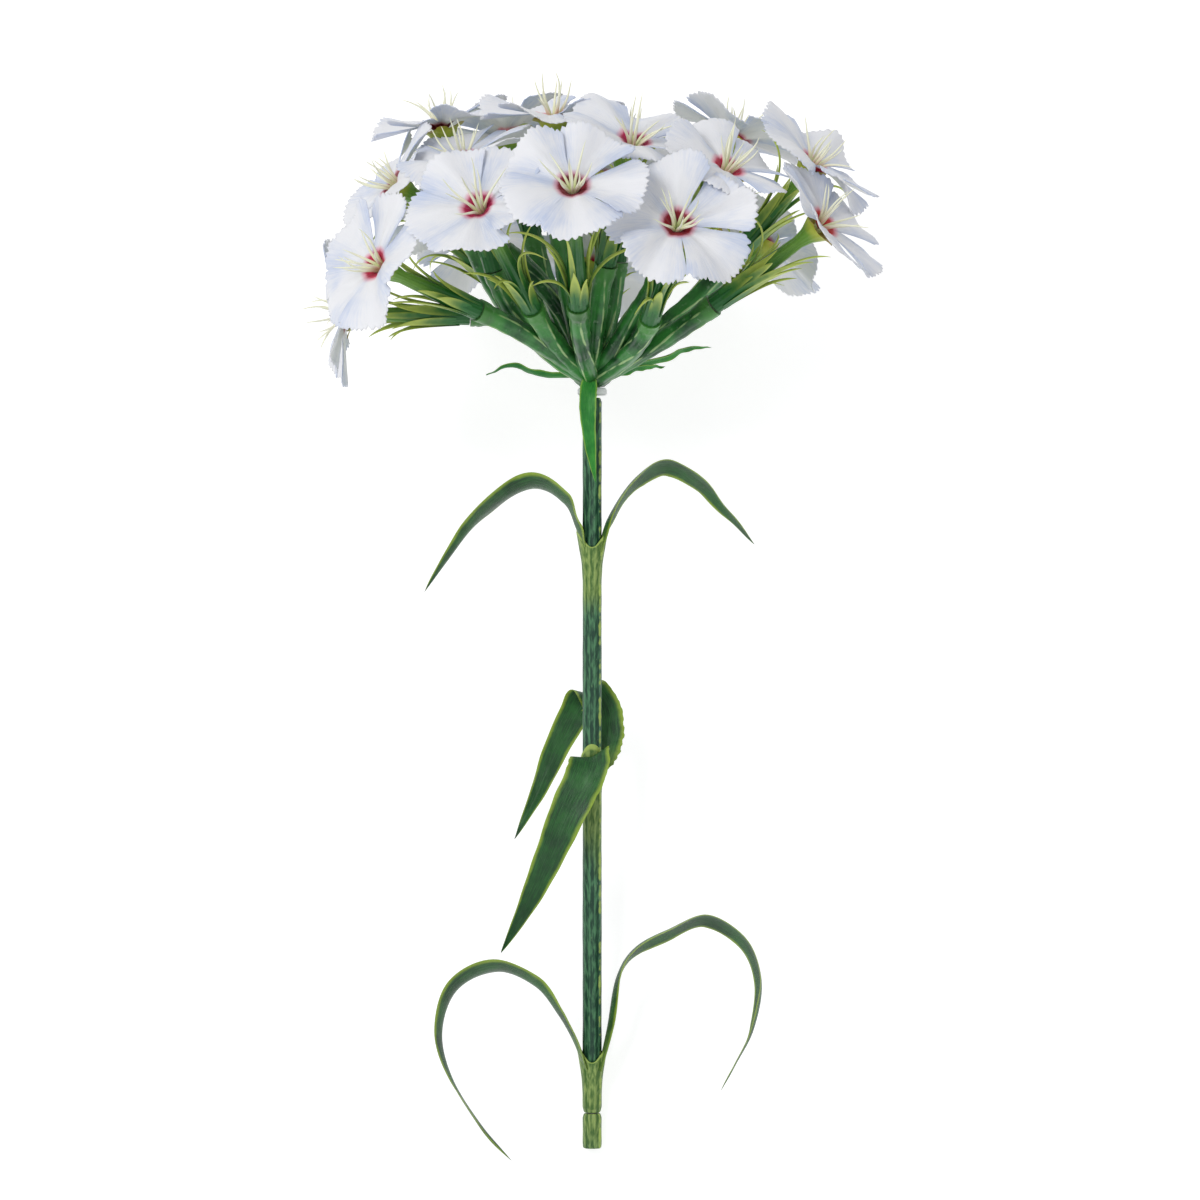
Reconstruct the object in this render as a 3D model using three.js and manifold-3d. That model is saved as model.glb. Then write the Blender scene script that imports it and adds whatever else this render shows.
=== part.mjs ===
// A phlox stem of the made kind: a wire core threaded through moulded sleeves, three of which
// carry a leaf pair each, and an umbel hub whose branches hold stamped fabric florets.
// The stem is built along +Y with +Z as its upper side, then laid down on its petals and its foot.

import * as THREE from 'three';
import { mergeVertices } from 'three/addons/utils/BufferGeometryUtils.js';
import Module from 'manifold-3d';

const wasm = await Module();
wasm.setup();

// Driving dimensions, in millimetres and degrees.
const GAP = 0.3;
const STEM_RADIUS = 2.6;
const WIRE_RADIUS = 0.9;
const WIRE_TOP = 216.5;
const BORE_RADIUS = WIRE_RADIUS + GAP;
const JOINT_HEIGHTS = { foot: 10, lower: 24, middle: 108, upper: 168, neck: 210.3 };
const SLEEVE_NECK = { slim: 1.9, full: 2.3, taper: 1.5 };
const CUP = { depth: 6, wall: 0.8, lip: 2.4, clearAbove: 35 };
const WASHER = { radius: 4.1, bottom: 210.6, top: 212.8 };
const HUB = { bottom: 213.1, height: 214.8, crown: 219.8, radius: 5.2, boreStart: 205 };
const BRANCH = { radius: 2.7, bow: 0.45 };
const SOCKET = { radius: 3.2, length: 4, bore: 1.6, depth: 3.4 };
const PIN_LENGTH = 2.8;
const MOUTH = { radius: 4.4, wall: 0.6, throat: 1.8, depth: 3.6 };
const PETAL_COUNT = 5;
const COROLLA = { radius: 19.5, eye: 3.2, nub: 2.4, eyeHeight: 0.9, midHeight: 2.9, rimHeight: 4.2 };
const NOTCH_REACH = 0.36;
const PETAL_SPREAD = 0.3;
const PETAL_THICKNESS = 0.7;
const BLADE = { thickness: 0.9, tip: 0.3, keel: 0.25 };

// Each floret's place on the dome: turn about the stem from +X towards +Z, rise above the hub's
// level and reach from the hub; the turn and rise that it faces; its calyx's length; and its petals'
// spin and how much they wave.
const FLORETS = [
  { turn: -55, rise: 38, reach: 72, faceTurn: -55, faceRise: 34, tube: 32, spin: 0, wave: 0 },
  { turn: -125, rise: 38, reach: 72, faceTurn: -125, faceRise: 34, tube: 32, spin: 0, wave: 0 },
  { turn: 94, rise: 33, reach: 86, faceTurn: 92, faceRise: 38, tube: 46, spin: 10, wave: 1 },
  { turn: 138, rise: 20, reach: 82, faceTurn: 144, faceRise: 18, tube: 34, spin: 25, wave: 1 },
  { turn: 72, rise: 27, reach: 82, faceTurn: 80, faceRise: 30, tube: 44, spin: 40, wave: 1 },
  { turn: 115, rise: 31, reach: 82, faceTurn: 112, faceRise: 34, tube: 43, spin: 5, wave: 1 },
  { turn: 31, rise: 29, reach: 83, faceTurn: 25, faceRise: 33, tube: 38, spin: 20, wave: 1 },
  { turn: 165, rise: 14, reach: 72, faceTurn: 174, faceRise: 0, tube: 34, spin: 50, wave: 1 },
  { turn: 53, rise: 42, reach: 81, faceTurn: 48, faceRise: 46, tube: 38, spin: 30, wave: 1 },
  { turn: 162, rise: 43, reach: 78, faceTurn: 164, faceRise: 30, tube: 36, spin: 15, wave: 1 },
  { turn: 76, rise: 53, reach: 77, faceTurn: 66, faceRise: 60, tube: 36, spin: 60, wave: 1 },
  { turn: 117, rise: 72, reach: 75, faceTurn: 110, faceRise: 80, tube: 32, spin: 0, wave: 1 },
  { turn: 173, rise: 59, reach: 82, faceTurn: 165, faceRise: 74, tube: 32, spin: 35, wave: 1 },
  { turn: 14, rise: 43, reach: 86, faceTurn: 26, faceRise: 46, tube: 32, spin: 45, wave: 1 },
  { turn: 57, rise: 76, reach: 66, faceTurn: 70, faceRise: 80, tube: 32, spin: 22, wave: 1 },
  { turn: -14, rise: 59, reach: 80, faceTurn: -14, faceRise: 65, tube: 32, spin: 12, wave: 1 },
  { turn: -133, rise: 63, reach: 79, faceTurn: -130, faceRise: 68, tube: 32, spin: 55, wave: 1 },
  { turn: 136, rise: 50, reach: 76, faceTurn: 130, faceRise: 66, tube: 32, spin: 8, wave: 1 },
  { turn: -88, rise: 42, reach: 50, faceTurn: -88, faceRise: 44, tube: 32, spin: 28, wave: 0.5 },
  { turn: -80, rise: 60, reach: 68, faceTurn: -80, faceRise: 62, tube: 32, spin: 42, wave: 0.5 },
  { turn: -28, rise: 36, reach: 68, faceTurn: -26, faceRise: 38, tube: 32, spin: 18, wave: 0.5 },
  { turn: -154, rise: 42, reach: 70, faceTurn: -156, faceRise: 40, tube: 32, spin: 32, wave: 0.5 },
];

// The middle line of each leaf, and the way across its blade, in the upright stem's own frame.
const LEAVES = {
  upper: [
    {
      route: [[-2, 167, 0], [-4.5, 174, 0.5], [-8, 181, 1], [-17, 185.5, 1.5], [-30, 178, 2], [-39, 167, 2],
        [-47, 155.5, 1]],
      across: [-0.15, 0.3, 1],
      halfWidth: 6,
    },
    {
      route: [[2, 167, 0], [4.5, 176, 0.5], [12, 187, 1], [21, 191.5, 2], [31, 186, 2], [38, 178, 1],
        [45.5, 169, 0]],
      across: [0.15, 0.3, 1],
      halfWidth: 6,
    },
  ],
  middle: [
    {
      route: [[0, 105.5, 2], [0, 109.5, 5], [-1.5, 105, 8], [-6, 96, 9], [-12, 82, 9.5], [-18, 69, 9],
        [-25.5, 55, 6]],
      across: [1, 0.35, 0],
      halfWidth: 5.8,
    },
    {
      route: [[1, 105.5, -2], [4, 113, -4.5], [4, 124, -7], [0.5, 128, -9.5], [-5, 121, -11.5], [-11, 109, -12],
        [-16, 97, -11], [-22, 86, -9]],
      across: [1, 0.3, 0.25],
      halfWidth: 5.4,
    },
  ],
  lower: [
    {
      route: [[-2, 22, 0.5], [-5, 30, 2], [-9.5, 38, 3], [-16, 46, 4], [-27, 50.5, 5], [-38, 45, 6], [-42, 33, 6],
        [-39, 20, 5.5], [-31, 7, 5], [-22.5, -3, 4]],
      across: [-0.15, 0.3, 1],
      halfWidth: 5.4,
    },
    {
      route: [[2, 22, 0.5], [4.5, 34, 1.5], [7, 48, 2.5], [12, 56, 3.5], [21, 61, 4.5], [32, 65, 5.5],
        [42.5, 58.5, 6], [47, 47, 6], [45, 34, 5.5], [40, 24, 5], [36, 16.5, 4]],
      across: [0.15, 0.3, 1],
      halfWidth: 5.2,
    },
  ],
};

// Narrow leaves moulded with the hub: the broad one hangs down in front of the stem's top.
const HUB_LEAVES = [
  {
    route: [[-0.5, 215.5, 4], [-1, 212, 6], [-1.2, 205, 7.2], [-0.4, 195.5, 7], [1, 186, 5.5]],
    across: [1, 0, 0],
    halfWidth: 2.7,
  },
  { route: [[-4, 216, 2], [-14, 216, 5], [-22.5, 218.5, 6], [-29.5, 216, 5]], across: [0, 0.5, 1], halfWidth: 1.8 },
  { route: [[4, 216, 2], [13.5, 218.5, 5], [20.5, 218.5, 5]], across: [0, 0.5, 1], halfWidth: 1.8 },
  { route: [[4, 218, 0], [19, 221, 0], [27, 224, 1], [33.5, 224, 1]], across: [0, 0.5, 1], halfWidth: 1.8 },
];

const COLOURS = {
  petal: 0xd6dde6,
  calyx: 0x5f8a2c,
  branch: 0x1f4a22,
  sleeve: 0x28483c,
  node: 0x63803a,
  washer: 0xe6e8e4,
  wire: 0x8a8d90,
};

function material(colour, roughness, metalness = 0) {
  return new THREE.MeshStandardMaterial({ color: colour, roughness, metalness });
}

/** A seeded generator of numbers from 0 to 1, so that every floret waves in its own repeatable way. */
function seeded(seed) {
  let state = seed;
  return () => {
    state = (state * 1664525 + 1013904223) % 4294967296;
    return state / 4294967296;
  };
}

/** The manifold solid of a closed geometry, with its shared points merged. */
function solidOf(geometry) {
  const bare = geometry.clone();
  bare.deleteAttribute('normal');
  bare.deleteAttribute('uv');
  const merged = mergeVertices(bare, 1e-4);
  const index = merged.index.array;
  const corners = [];
  for (let i = 0; i < index.length; i += 3) {
    const [a, b, c] = [index[i], index[i + 1], index[i + 2]];
    if (a !== b && b !== c && c !== a) corners.push(a, b, c);
  }
  const mesh = new wasm.Mesh({
    numProp: 3,
    vertProperties: new Float32Array(merged.attributes.position.array),
    triVerts: new Uint32Array(corners),
  });
  return new wasm.Manifold(mesh);
}

function geometryOf(solid) {
  const mesh = solid.getMesh();
  const geometry = new THREE.BufferGeometry();
  geometry.setAttribute('position', new THREE.BufferAttribute(mesh.vertProperties, 3));
  geometry.setIndex(new THREE.BufferAttribute(mesh.triVerts, 1));
  geometry.computeVertexNormals();
  return geometry;
}

function joined(solids) {
  return wasm.Manifold.union(solids);
}

function vector([x, y, z]) {
  return new THREE.Vector3(x, y, z);
}

/** The unit vector at a turn about the stem and a rise above the hub's level. */
function direction(turn, rise) {
  const turned = THREE.MathUtils.degToRad(turn);
  const risen = THREE.MathUtils.degToRad(rise);
  return new THREE.Vector3(
    Math.cos(risen) * Math.cos(turned),
    Math.sin(risen),
    Math.cos(risen) * Math.sin(turned),
  );
}

/** A body turned about the Y axis from pairs of radius and height. */
function turnedBody(profile, sides) {
  const points = profile.map(([radius, height]) => new THREE.Vector2(radius, height));
  return new THREE.LatheGeometry(points, sides);
}

/** A straight or curved rod with flat ends. */
function rod(curve, radius, sides, steps) {
  const section = new THREE.Shape();
  for (let i = 0; i < sides; i += 1) {
    const angle = (2 * Math.PI * i) / sides;
    const move = i === 0 ? 'moveTo' : 'lineTo';
    section[move](radius * Math.cos(angle), radius * Math.sin(angle));
  }
  section.closePath();
  return new THREE.ExtrudeGeometry(section, { steps, bevelEnabled: false, extrudePath: curve });
}

/** A leaf blade: a flat box carried along its middle line, widest in the lower third, keeled. */
function blade({ route, across, halfWidth }) {
  const curve = new THREE.CatmullRomCurve3(route.map(vector));
  const steps = 3 * (route.length - 1);
  const geometry = new THREE.BoxGeometry(2, BLADE.thickness, 1, 2, 1, steps);
  const spot = geometry.attributes.position;
  for (let i = 0; i < spot.count; i += 1) {
    const along = spot.getZ(i) + 0.5;
    const middle = curve.getPoint(along);
    const forward = curve.getTangent(along);
    const side = vector(across).addScaledVector(forward, -vector(across).dot(forward)).normalize();
    const up = new THREE.Vector3().crossVectors(forward, side);
    const reach = Math.max(BLADE.tip, halfWidth * Math.sin(Math.PI * (0.1 + 0.9 * along)) ** 0.75);
    const keel = BLADE.keel * reach * Math.abs(spot.getX(i));
    const thinning = 1 - 0.5 * along;
    middle.addScaledVector(side, reach * spot.getX(i));
    middle.addScaledVector(up, thinning * spot.getY(i) + keel);
    spot.setXYZ(i, middle.x, middle.y, middle.z);
  }
  return geometry;
}

/** A stem sleeve: a bored tube with a narrow lower neck and, on leaf sleeves, a cup at its top. */
function sleeve(bottom, top, neckRadius, hasCup) {
  const inCup = STEM_RADIUS + GAP;
  const lip = top + CUP.lip;
  const mouth = hasCup
    ? [[STEM_RADIUS, top - CUP.depth], [inCup + CUP.wall, lip], [inCup, lip], [inCup, top - GAP]]
    : [[STEM_RADIUS, top - SLEEVE_NECK.taper], [neckRadius, top - GAP]];
  const profile = [
    [BORE_RADIUS, bottom],
    [neckRadius, bottom],
    [STEM_RADIUS, bottom + SLEEVE_NECK.taper],
    ...mouth,
    [BORE_RADIUS, top - GAP],
    [BORE_RADIUS, bottom],
  ];
  return turnedBody(profile, 14);
}

/** A solid cylinder about the stem's axis, used to clear room for what passes through. */
function core(radius, bottom, top, sides) {
  return solidOf(turnedBody([[0, bottom], [radius, bottom], [radius, top], [0, top]], sides));
}

/** A cupped sleeve with its leaf pair, cleared for the wire and for the sleeve above. */
function leafSleeve(bottom, top, neckRadius, leaves) {
  const blades = leaves.map((leaf) => solidOf(blade(leaf)));
  const whole = joined([solidOf(sleeve(bottom, top, neckRadius, true)), ...blades]);
  const wireRoom = core(BORE_RADIUS, bottom - 9, top + 9, 14);
  const nextSleeveRoom = core(STEM_RADIUS + GAP, top - GAP, top + CUP.clearAbove, 14);
  return whole.subtract(wireRoom).subtract(nextSleeveRoom);
}

/** Where a floret's mouth is, the way it faces, and the end of its branch. */
function floretPlace(floret) {
  const mouth = direction(floret.turn, floret.rise).multiplyScalar(floret.reach);
  mouth.y += HUB.height;
  const facing = direction(floret.faceTurn, floret.faceRise);
  const socket = mouth.clone().addScaledVector(facing, -floret.tube);
  return { mouth, facing, socket };
}

/** The turn and place that carry a body built along +Y to a floret's mouth. */
function floretMatrix(floret) {
  const { mouth, facing } = floretPlace(floret);
  const side = new THREE.Vector3().crossVectors(facing, new THREE.Vector3(0, 1, 0)).normalize();
  const front = new THREE.Vector3().crossVectors(side, facing);
  const spin = new THREE.Matrix4().makeRotationY(THREE.MathUtils.degToRad(floret.spin));
  return new THREE.Matrix4().makeBasis(side, facing, front).multiply(spin).setPosition(mouth);
}

/** One branch: a bowed rod from the hub to its socket, with the socket's bore left open. */
function branch(floret) {
  const { facing, socket } = floretPlace(floret);
  const start = new THREE.Vector3(0, HUB.height, 0);
  const bend = socket.clone().addScaledVector(facing, -BRANCH.bow * socket.distanceTo(start));
  const neck = socket.clone().addScaledVector(facing, -0.5 * SOCKET.length);
  const route = new THREE.QuadraticBezierCurve3(start, bend, neck);
  const collarStart = socket.clone().addScaledVector(facing, -SOCKET.length);
  const collar = rod(new THREE.LineCurve3(collarStart, socket), SOCKET.radius, 8, 1);
  return [solidOf(rod(route, BRANCH.radius, 6, 3)), solidOf(collar)];
}

function socketBore(floret) {
  const { facing, socket } = floretPlace(floret);
  const inner = socket.clone().addScaledVector(facing, -SOCKET.depth);
  const outer = socket.clone().addScaledVector(facing, 1);
  return solidOf(rod(new THREE.LineCurve3(inner, outer), SOCKET.bore, 6, 1));
}

/** The umbel hub: a rounded boss, its branches and its narrow leaves, bored for the wire. */
function umbelHub() {
  const boss = turnedBody(
    [
      [0, HUB.bottom],
      [0.7 * HUB.radius, HUB.bottom],
      [HUB.radius, HUB.height],
      [0.77 * HUB.radius, HUB.crown - 1],
      [0, HUB.crown],
    ],
    12,
  );
  const leaves = HUB_LEAVES.map((leaf) => solidOf(blade(leaf)));
  const whole = joined([solidOf(boss), ...FLORETS.flatMap(branch), ...leaves]);
  const wireRoom = core(BORE_RADIUS, HUB.boreStart, WIRE_TOP + GAP, 12);
  const washerRoom = core(WASHER.radius + GAP, HUB.boreStart - 5, HUB.bottom, 14);
  return whole.subtract(joined([wireRoom, washerRoom, ...FLORETS.map(socketBore)]));
}

/** A calyx: a flaring tube with a pin for its branch's socket and a hollow for the corolla's nub. */
function calyx(floret) {
  const shoulder = GAP - floret.tube;
  const pin = SOCKET.bore - GAP;
  return turnedBody([
    [0, shoulder - PIN_LENGTH],
    [pin, shoulder - PIN_LENGTH],
    [pin, shoulder],
    [2.8, shoulder],
    [2.5, 0.56 * shoulder],
    [MOUTH.throat, -8],
    [2.4, -5],
    [MOUTH.radius, 0],
    [MOUTH.radius - MOUTH.wall, 0],
    [MOUTH.throat, -MOUTH.depth],
    [0, -MOUTH.depth],
  ], 8);
}

/** A corolla: a thin dish whose rim is parted into five petals, each with its own reach and lift. */
function corolla(reaches, lifts, extra) {
  const { radius: rim, eye, nub, eyeHeight, midHeight, rimHeight } = COROLLA;
  const middle = 0.56 * rim;
  const under = -0.5 * extra;
  const over = PETAL_THICKNESS + 0.5 * extra;
  const geometry = turnedBody([
    [0, -nub],
    [eye, eyeHeight + under],
    [middle, midHeight + under],
    [rim, rimHeight + under],
    [rim, rimHeight + over],
    [middle, midHeight + over],
    [eye, eyeHeight + over],
    [0, eyeHeight],
  ], 5 * PETAL_COUNT);
  const spot = geometry.attributes.position;
  const share = (2 * Math.PI) / PETAL_COUNT;
  for (let i = 0; i < spot.count; i += 1) {
    const radius = Math.hypot(spot.getX(i), spot.getZ(i));
    const outward = Math.max(0, (radius - eye) / (rim - eye));
    if (outward === 0) continue;
    const angle = (Math.atan2(spot.getX(i), spot.getZ(i)) + 2 * Math.PI + 1e-4) % (2 * Math.PI);
    const petal = Math.floor(angle / share);
    const parted = angle - petal * share < 1e-3;
    const previous = (petal + PETAL_COUNT - 1) % PETAL_COUNT;
    const reach = parted ? NOTCH_REACH * Math.min(reaches[petal], reaches[previous]) : reaches[petal];
    const lift = parted ? 0.5 * (lifts[petal] + lifts[previous]) : lifts[petal];
    const fromMiddle = angle - (petal + 0.5) * share;
    const spread = parted ? 0 : PETAL_SPREAD * fromMiddle;
    const newRadius = eye + (rim * reach - eye) * outward;
    const newAngle = angle + spread;
    const height = spot.getY(i) + lift * outward * outward * reach;
    spot.setXYZ(i, newRadius * Math.sin(newAngle), height, newRadius * Math.cos(newAngle));
  }
  return geometry;
}

/** Shortens a floret's petals one by one until none of them touches what is already there. */
function fittedReaches(matrix, lifts, neighbours) {
  const reaches = new Array(PETAL_COUNT).fill(1);
  const inverse = matrix.clone().invert();
  const crowd = joined(neighbours);
  for (let trial = 0; trial < 40; trial += 1) {
    const probe = solidOf(corolla(reaches, lifts, 1).applyMatrix4(matrix));
    const clash = probe.intersect(crowd);
    if (clash.isEmpty()) return reaches;
    const { vertProperties } = clash.getMesh();
    const touched = new Set();
    for (let i = 0; i < vertProperties.length; i += 3) {
      const spot = new THREE.Vector3().fromArray(vertProperties, i).applyMatrix4(inverse);
      const angle = (Math.atan2(spot.x, spot.z) + 2 * Math.PI) % (2 * Math.PI);
      touched.add(Math.floor((angle / (2 * Math.PI)) * PETAL_COUNT) % PETAL_COUNT);
    }
    for (const petal of touched) reaches[petal] = Math.max(0.4, reaches[petal] - 0.06);
  }
  return reaches;
}

function placed(name, geometry, look, matrix = new THREE.Matrix4()) {
  const mesh = new THREE.Mesh(geometry, look);
  mesh.name = name;
  matrix.decompose(mesh.position, mesh.quaternion, mesh.scale);
  return mesh;
}

/** The lowest height of the meshes' points once the stem is tipped up by an angle at its head. */
function lowestPoint(meshes, tilt) {
  let lowest = Infinity;
  for (const mesh of meshes) {
    mesh.updateMatrix();
    const spot = mesh.geometry.attributes.position;
    for (let i = 0; i < spot.count; i += 1) {
      const point = new THREE.Vector3().fromBufferAttribute(spot, i).applyMatrix4(mesh.matrix);
      lowest = Math.min(lowest, point.y * Math.sin(tilt) + point.z * Math.cos(tilt));
    }
  }
  return lowest;
}

/** The tilt at which the foot end and the head touch the surface together. */
function restingTilt(stemMeshes, headMeshes) {
  let low = 0;
  let high = Math.PI / 6;
  for (let step = 0; step < 40; step += 1) {
    const tilt = 0.5 * (low + high);
    if (lowestPoint(headMeshes, tilt) < lowestPoint(stemMeshes, tilt)) low = tilt;
    else high = tilt;
  }
  return 0.5 * (low + high);
}

function stemMeshes() {
  const { foot, lower, middle, upper, neck } = JOINT_HEIGHTS;
  const { slim, full } = SLEEVE_NECK;
  const wire = core(WIRE_RADIUS, 0.5, WIRE_TOP, 12);
  const footSleeve = solidOf(sleeve(0, foot, slim, false));
  const neckSleeve = solidOf(sleeve(upper, neck, full, false));
  const washer = turnedBody([
    [BORE_RADIUS, WASHER.bottom],
    [WASHER.radius, WASHER.bottom],
    [WASHER.radius, WASHER.top],
    [BORE_RADIUS, WASHER.top],
    [BORE_RADIUS, WASHER.bottom],
  ], 14);
  const leafy = (bottom, top, neckRadius, leaves) => geometryOf(leafSleeve(bottom, top, neckRadius, leaves));
  return [
    placed('stem_wire', geometryOf(wire), material(COLOURS.wire, 0.4, 0.9)),
    placed('foot_sleeve', geometryOf(footSleeve), material(COLOURS.sleeve, 0.45)),
    placed('lower_leaf_sleeve', leafy(foot, lower, slim, LEAVES.lower), material(COLOURS.node, 0.4)),
    placed('middle_leaf_sleeve', leafy(lower, middle, full, LEAVES.middle), material(COLOURS.sleeve, 0.4)),
    placed('upper_leaf_sleeve', leafy(middle, upper, full, LEAVES.upper), material(COLOURS.sleeve, 0.4)),
    placed('neck_sleeve', geometryOf(neckSleeve), material(COLOURS.sleeve, 0.45)),
    placed('neck_washer', geometryOf(solidOf(washer)), material(COLOURS.washer, 0.25)),
  ];
}

function headMeshes() {
  const hub = umbelHub();
  const meshes = [placed('umbel_hub', geometryOf(hub), material(COLOURS.branch, 0.35))];
  const calyxes = FLORETS.map((floret) => solidOf(calyx(floret).applyMatrix4(floretMatrix(floret))));
  const corollas = [];
  FLORETS.forEach((floret, index) => {
    const number = String(index + 1).padStart(2, '0');
    const matrix = floretMatrix(floret);
    const random = seeded(index + 1);
    const lifts = Array.from({ length: PETAL_COUNT }, () => floret.wave * (4 * random() - 2.4));
    const others = calyxes.filter((_, other) => other !== index);
    const reaches = fittedReaches(matrix, lifts, [hub, ...others, ...corollas]);
    corollas.push(solidOf(corolla(reaches, lifts, 0).applyMatrix4(matrix)));
    const petals = geometryOf(solidOf(corolla(reaches, lifts, 0)));
    const tube = geometryOf(solidOf(calyx(floret)));
    meshes.push(placed(`calyx_${number}`, tube, material(COLOURS.calyx, 0.4), matrix));
    meshes.push(placed(`corolla_${number}`, petals, material(COLOURS.petal, 0.8), matrix));
  });
  return meshes;
}

/** Lays the stem down: tipped to its resting tilt, on the surface, centred over the origin. */
function layDown(stem, head) {
  const plant = new THREE.Group();
  plant.add(...stem, ...head);
  plant.rotation.x = restingTilt(stem, head);
  const whole = new THREE.Group();
  whole.add(plant);
  whole.updateMatrixWorld(true);
  const box = new THREE.Box3().setFromObject(whole, true);
  const centre = box.getCenter(new THREE.Vector3());
  plant.position.set(-centre.x, -centre.y, -box.min.z);
  whole.updateMatrixWorld(true);
  return whole;
}

export default layDown(stemMeshes(), headMeshes());
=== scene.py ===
import math

import bmesh
import bpy
import numpy as np
from mathutils import Matrix


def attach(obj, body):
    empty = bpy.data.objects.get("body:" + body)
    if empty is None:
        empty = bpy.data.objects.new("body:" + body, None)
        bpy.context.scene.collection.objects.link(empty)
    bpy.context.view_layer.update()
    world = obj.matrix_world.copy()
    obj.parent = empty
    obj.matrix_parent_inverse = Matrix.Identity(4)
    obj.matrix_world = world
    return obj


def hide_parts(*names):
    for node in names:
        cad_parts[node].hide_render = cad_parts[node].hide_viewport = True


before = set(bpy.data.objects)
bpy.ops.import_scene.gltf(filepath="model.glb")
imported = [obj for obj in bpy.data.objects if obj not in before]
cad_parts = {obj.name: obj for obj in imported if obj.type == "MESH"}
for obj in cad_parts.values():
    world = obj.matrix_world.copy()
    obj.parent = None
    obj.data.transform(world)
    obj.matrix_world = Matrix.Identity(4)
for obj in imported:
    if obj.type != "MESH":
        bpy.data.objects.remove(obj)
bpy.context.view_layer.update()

MM = 0.001


# The stem's own directions. The core wire is straight, so its long axis is the stem's: `up` runs
# from the cut foot to the head, `right` across it, and `front` away from the surface it lies on.

def node_points(name):
    """A node's points as an array, three numbers each."""
    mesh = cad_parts[name].data
    flat = np.empty(len(mesh.vertices) * 3)
    mesh.vertices.foreach_get("co", flat)
    return flat.reshape(-1, 3)


def unit(vectors):
    """Each vector divided by its own length."""
    return vectors / np.linalg.norm(vectors, axis=-1, keepdims=True)


def long_axis(points):
    """The middle of the points and the direction in which they spread most, from their singular vectors."""
    middle = points.mean(axis=0)
    return middle, np.linalg.svd(points - middle, full_matrices=False)[2][0]


WIRE_END_INSET = 0.5 * MM
wire_points = node_points("stem_wire")
wire_middle, up = long_axis(wire_points)
up = up * np.sign(up[1])
right = np.array([1.0, 0.0, 0.0])
front = np.cross(right, up)
wire_reach = (wire_points - wire_middle) @ up
foot = wire_middle + (wire_reach.min() - WIRE_END_INSET) * up
stem_tilt = math.atan2(up[2], up[1])


def on_stem(points):
    """Places given in millimetres across, along and in front of the stem, in the frame's metres."""
    return foot + MM * np.asarray(points, float) @ np.stack([right, up, front])


# The camera looks down on the lying stem, square to it, with the head at the top of the view, from
# far enough away that near and far florets differ little in size.

VIEW_WIDTH = 336 * MM
VIEW_DISTANCE = 1200 * MM
VIEW_CENTRE = [2.2, 153.4, 0]
SENSOR_WIDTH = 36
FARTHEST = 20
camera = bpy.data.cameras.new("studio_camera")
camera.sensor_width = SENSOR_WIDTH
camera.lens = SENSOR_WIDTH * VIEW_DISTANCE / VIEW_WIDTH
camera.clip_end = FARTHEST
camera_object = bpy.data.objects.new("studio_camera", camera)
aim = on_stem(VIEW_CENTRE)
turn = np.eye(4)
turn[:3, :3] = np.stack([right, up, front], axis=1)
turn[:3, 3] = aim + VIEW_DISTANCE * front
camera_object.matrix_world = Matrix(turn.tolist())
bpy.context.scene.collection.objects.link(camera_object)
bpy.context.scene.camera = camera_object


# The studio: a white floor and light from all round, a little stronger from the upper left, so that
# shadows stay faint and petals still show their folds.

def rgb(red, green, blue):
    """A colour given as 0 to 255 on screen, in the linear values that a shader takes."""
    def linear(value):
        """The screen's curve undone: a straight line near black and a power above it."""
        value = value / 255
        return value / 12.92 if value <= 0.04045 else ((value + 0.055) / 1.055) ** 2.4
    return (linear(red), linear(green), linear(blue), 1.0)


class Shade:
    """A value on its way through a finish: arithmetic on it adds Math nodes to that finish."""

    def __init__(self, finish, socket):
        self.finish = finish
        self.socket = socket

    def combine(self, operation, first, second):
        """The result of one Math node on two values, each a Shade or a number."""
        return self.finish.node("ShaderNodeMath", {"operation": operation}, {0: first, 1: second})

    def __add__(self, other):
        return self.combine("ADD", self, other)

    def __radd__(self, other):
        return self.combine("ADD", other, self)

    def __sub__(self, other):
        return self.combine("SUBTRACT", self, other)

    def __rsub__(self, other):
        return self.combine("SUBTRACT", other, self)

    def __mul__(self, other):
        return self.combine("MULTIPLY", self, other)

    def __rmul__(self, other):
        return self.combine("MULTIPLY", other, self)

    def __abs__(self):
        return self.combine("ABSOLUTE", self, 0)


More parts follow.
